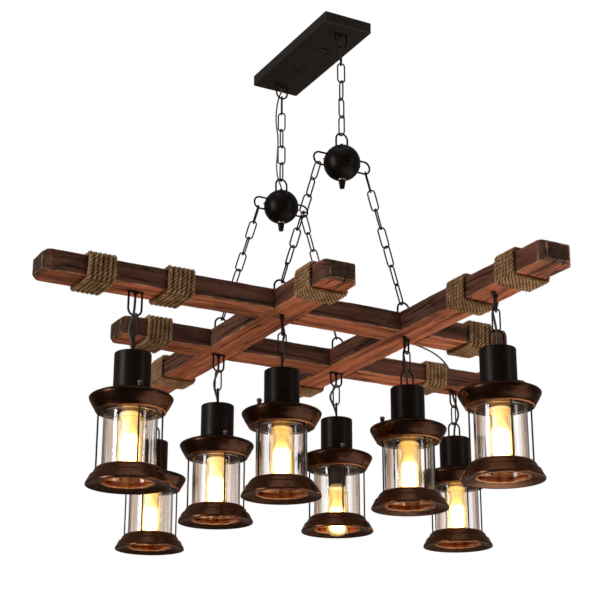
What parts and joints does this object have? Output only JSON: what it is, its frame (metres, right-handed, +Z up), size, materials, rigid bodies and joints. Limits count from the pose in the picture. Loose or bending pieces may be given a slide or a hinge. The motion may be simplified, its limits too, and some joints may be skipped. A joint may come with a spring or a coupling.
{
  "type": "pendant light",
  "caption": "Crossed hewn timbers wound with rope, hung by chains from balls under a ceiling plate, with glass lanterns hanging below.",
  "frame": {"origin": "centre of the ceiling plate's ceiling face", "axes": "+Z up to the ceiling, the light hangs in -Z; +Y along the ceiling plate; +X along the front and back timbers"},
  "size_m": [1.26, 1.26, 1.0339],
  "materials": {
    "plate_black": "matt black powder coat",
    "zinc_steel": "zinc plated",
    "dark_metal": "dark bronze, satin",
    "white_plastic": "moulded",
    "chain_bronze": "dark bronze, satin",
    "ball_black": "matt black",
    "timber": "hewn, stained reddish brown",
    "jute_rope": "twisted natural fibre",
    "black_lead": "black sheath",
    "clear_lead": "smoky clear sheath",
    "cap_black": "satin black, rubbed bronze edges",
    "ring_brown": "rubbed dark bronze",
    "clear_glass": "clear",
    "lamp_white": "frosted lamp"
  },
  "bodies": {
    "ceiling_plate": {"canopy": "plate_black", "crossbar": "zinc_steel", "canopy_nuts": "dark_metal", "terminal_block": "white_plastic", "canopy_hooks": "dark_metal"},
    "top_links": {"top_links": "chain_bronze"},
    "near_upper_chain": {"near_upper_chain": "chain_bronze"},
    "far_upper_chain": {"far_upper_chain": "chain_bronze", "supply_cord": "clear_lead"},
    "timber_frame": {"suspension_balls": "ball_black", "ball_fittings": "dark_metal", "lower_chains": "chain_bronze", "front_beam": "timber", "right_beam": "timber", "back_beam": "timber", "left_beam": "timber", "rope_wraps": "jute_rope", "frame_eyes": "dark_metal", "lantern_leads": "black_lead", "feed_cord": "black_lead"},
    "lantern_1_link": {"lantern_1_link": "chain_bronze"},
    "lantern_1": {"lantern_1_housing": "cap_black", "lantern_1_cage": "ring_brown", "lantern_1_glass": "clear_glass", "lantern_1_bulb": "lamp_white"},
    "lantern_2_link": {"lantern_2_link": "chain_bronze"},
    "lantern_2": {"lantern_2_housing": "cap_black", "lantern_2_cage": "ring_brown", "lantern_2_glass": "clear_glass", "lantern_2_bulb": "lamp_white"},
    "lantern_3_link": {"lantern_3_link": "chain_bronze"},
    "lantern_3": {"lantern_3_housing": "cap_black", "lantern_3_cage": "ring_brown", "lantern_3_glass": "clear_glass", "lantern_3_bulb": "lamp_white"},
    "lantern_4_link": {"lantern_4_link": "chain_bronze"},
    "lantern_4": {"lantern_4_housing": "cap_black", "lantern_4_cage": "ring_brown", "lantern_4_glass": "clear_glass", "lantern_4_bulb": "lamp_white"},
    "lantern_5_link": {"lantern_5_link": "chain_bronze"},
    "lantern_5": {"lantern_5_housing": "cap_black", "lantern_5_cage": "ring_brown", "lantern_5_glass": "clear_glass", "lantern_5_bulb": "lamp_white"},
    "lantern_6_link": {"lantern_6_link": "chain_bronze"},
    "lantern_6": {"lantern_6_housing": "cap_black", "lantern_6_cage": "ring_brown", "lantern_6_glass": "clear_glass", "lantern_6_bulb": "lamp_white"},
    "lantern_7_link": {"lantern_7_link": "chain_bronze"},
    "lantern_7": {"lantern_7_housing": "cap_black", "lantern_7_cage": "ring_brown", "lantern_7_glass": "clear_glass", "lantern_7_bulb": "lamp_white"},
    "lantern_8_link": {"lantern_8_link": "chain_bronze"},
    "lantern_8": {"lantern_8_housing": "cap_black", "lantern_8_cage": "ring_brown", "lantern_8_glass": "clear_glass", "lantern_8_bulb": "lamp_white"}
  },
  "joints": [
    {"name": "plate_sway", "type": "hinge", "parent": "ceiling_plate", "child": "top_links", "pos_m": [0, 0, -0.0531], "axis": [0, 1, 0], "range_deg": [-8, 8], "deforming": ["supply_cord"]},
    {"name": "far_chain_swing", "type": "hinge", "parent": "top_links", "child": "far_upper_chain", "pos_m": [0, 0.132, -0.0934], "axis": [1, 0, 0], "range_deg": [-8, 8], "deforming": ["supply_cord"]},
    {"name": "near_chain_swing", "type": "hinge", "parent": "top_links", "child": "near_upper_chain", "pos_m": [0, -0.132, -0.0934], "axis": [1, 0, 0], "range_deg": [-8, 8]},
    {"name": "frame_level", "type": "hinge", "parent": "far_upper_chain", "child": "timber_frame", "pos_m": [0, 0.132, -0.2542], "axis": [1, 0, 0], "range_deg": [-8, 8], "deforming": ["supply_cord"]},
    {"name": "lantern_1_eye_swing", "type": "hinge", "parent": "timber_frame", "child": "lantern_1_link", "pos_m": [-0.442, -0.14, -0.72144], "axis": [0.9994, 0.0349, 0], "range_deg": [-10, 10], "deforming": ["lantern_leads"]},
    {"name": "lantern_1_loop_swing", "type": "hinge", "parent": "lantern_1_link", "child": "lantern_1", "pos_m": [-0.442, -0.14, -0.76134], "axis": [0.4226, -0.9063, 0], "range_deg": [-10, 10], "deforming": ["lantern_leads"]},
    {"name": "lantern_2_eye_swing", "type": "hinge", "parent": "timber_frame", "child": "lantern_2_link", "pos_m": [-0.14, 0.4722, -0.71702], "axis": [0.9903, -0.1392, 0], "range_deg": [-10, 10], "deforming": ["lantern_leads"]},
    {"name": "lantern_2_loop_swing", "type": "hinge", "parent": "lantern_2_link", "child": "lantern_2", "pos_m": [-0.14, 0.4722, -0.75692], "axis": [0.1392, 0.9903, 0], "range_deg": [-10, 10], "deforming": ["lantern_leads"]},
    {"name": "lantern_3_eye_swing", "type": "hinge", "parent": "timber_frame", "child": "lantern_3_link", "pos_m": [-0.14, 0.14, -0.7126], "axis": [0.9848, 0.1736, 0], "range_deg": [-10, 10], "deforming": ["lantern_leads"]},
    {"name": "lantern_3_loop_swing", "type": "hinge", "parent": "lantern_3_link", "child": "lantern_3", "pos_m": [-0.14, 0.14, -0.7525], "axis": [0.4695, -0.8829, 0], "range_deg": [-10, 10], "deforming": ["lantern_leads"]},
    {"name": "lantern_4_eye_swing", "type": "hinge", "parent": "timber_frame", "child": "lantern_4_link", "pos_m": [-0.14, -0.14, -0.7109], "axis": [0.4848, 0.8746, 0], "range_deg": [-10, 10], "deforming": ["lantern_leads"]},
    {"name": "lantern_4_loop_swing", "type": "hinge", "parent": "lantern_4_link", "child": "lantern_4", "pos_m": [-0.14, -0.14, -0.7508], "axis": [0.8829, -0.4695, 0], "range_deg": [-10, 10], "deforming": ["lantern_leads"]},
    {"name": "lantern_5_eye_swing", "type": "hinge", "parent": "timber_frame", "child": "lantern_5_link", "pos_m": [0.14, 0.14, -0.70682], "axis": [1, 0, 0], "range_deg": [-10, 10], "deforming": ["lantern_leads"]},
    {"name": "lantern_5_loop_swing", "type": "hinge", "parent": "lantern_5_link", "child": "lantern_5", "pos_m": [0.14, 0.14, -0.74672], "axis": [0.4695, -0.8829, 0], "range_deg": [-10, 10], "deforming": ["lantern_leads"]},
    {"name": "lantern_6_eye_swing", "type": "hinge", "parent": "timber_frame", "child": "lantern_6_link", "pos_m": [0.14, -0.14, -0.70682], "axis": [0.788, 0.6157, 0], "range_deg": [-10, 10], "deforming": ["lantern_leads"]},
    {"name": "lantern_6_loop_swing", "type": "hinge", "parent": "lantern_6_link", "child": "lantern_6", "pos_m": [0.14, -0.14, -0.74672], "axis": [0.5, -0.866, 0], "range_deg": [-10, 10], "deforming": ["lantern_leads"]},
    {"name": "lantern_7_eye_swing", "type": "hinge", "parent": "timber_frame", "child": "lantern_7_link", "pos_m": [0.14, -0.442, -0.70784], "axis": [0.6947, 0.7193, 0], "range_deg": [-10, 10], "deforming": ["lantern_leads"]},
    {"name": "lantern_7_loop_swing", "type": "hinge", "parent": "lantern_7_link", "child": "lantern_7", "pos_m": [0.14, -0.442, -0.74774], "axis": [0.5, -0.866, 0], "range_deg": [-10, 10], "deforming": ["lantern_leads"]},
    {"name": "lantern_8_eye_swing", "type": "hinge", "parent": "timber_frame", "child": "lantern_8_link", "pos_m": [0.442, 0.14, -0.7126], "axis": [0.891, 0.454, 0], "range_deg": [-10, 10], "deforming": ["lantern_leads"]},
    {"name": "lantern_8_loop_swing", "type": "hinge", "parent": "lantern_8_link", "child": "lantern_8", "pos_m": [0.442, 0.14, -0.7525], "axis": [0, 1, 0], "range_deg": [-10, 10], "deforming": ["lantern_leads"]}
  ],
  "couplings": [
    {"joint": "far_chain_swing", "follows": "frame_level", "ratio": -1},
    {"joint": "near_chain_swing", "follows": "frame_level", "ratio": -1}
  ]
}
